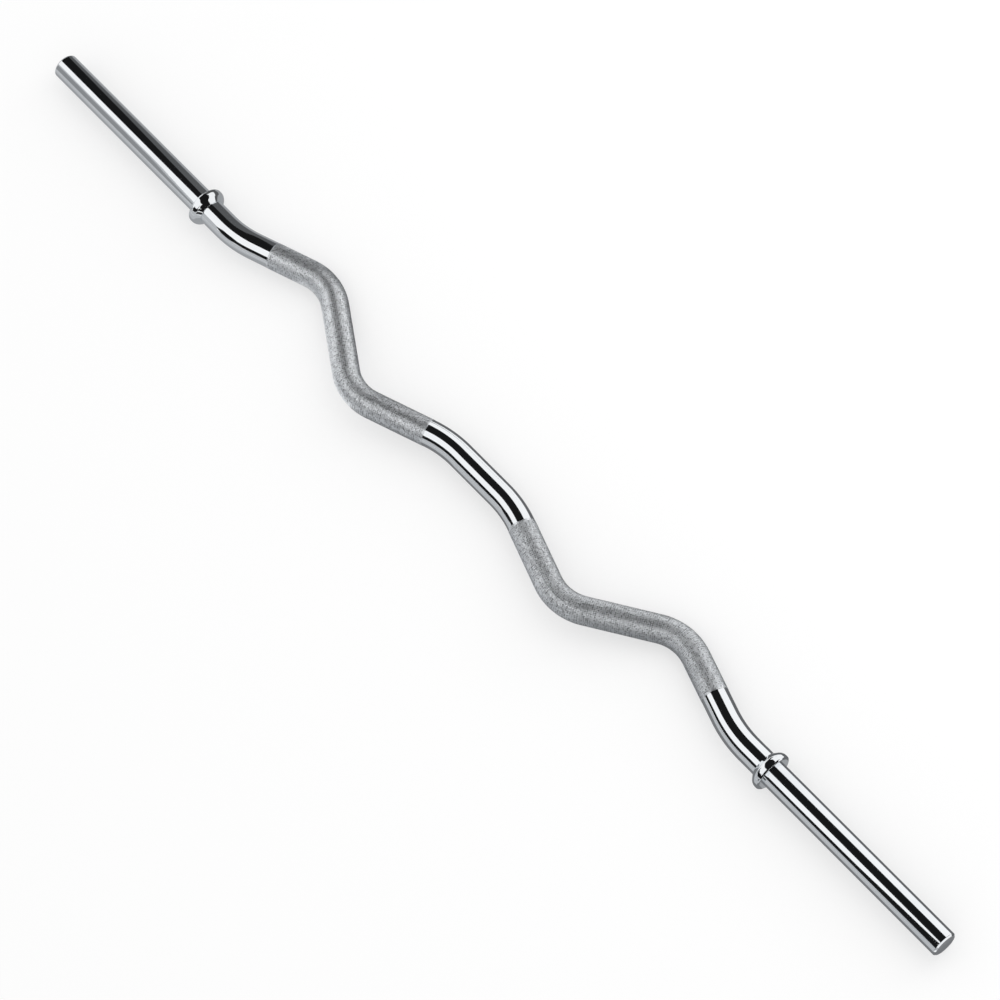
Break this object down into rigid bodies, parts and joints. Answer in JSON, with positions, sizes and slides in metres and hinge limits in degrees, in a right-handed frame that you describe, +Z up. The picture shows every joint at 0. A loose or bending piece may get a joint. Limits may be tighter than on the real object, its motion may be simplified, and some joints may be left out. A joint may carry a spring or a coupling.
{
  "type": "ez curl bar",
  "caption": "Chrome-plated steel curl bar with a zigzag grip part, knurled bends, plain round sleeves and a bead-shaped stop collar inboard of each sleeve.",
  "frame": {"origin": "on the floor under the middle of the bar's box, as the bar lies at rest on its two collars and two outer bends", "axes": "+X along the bar to the right-hand sleeve, +Y towards the outer bends, +Z up"},
  "size_m": [1.194, 0.0754, 0.038],
  "materials": {
    "chrome": "polished chrome plate",
    "collar_chrome": "polished chrome plate",
    "knurl": "chrome plate over fine diamond knurling, satin",
    "end_face": "sawn and faced bar end, satin"
  },
  "bodies": {
    "root": {"shaft": "chrome", "left_collar": "collar_chrome", "right_collar": "collar_chrome"}
  },
  "joints": []
}
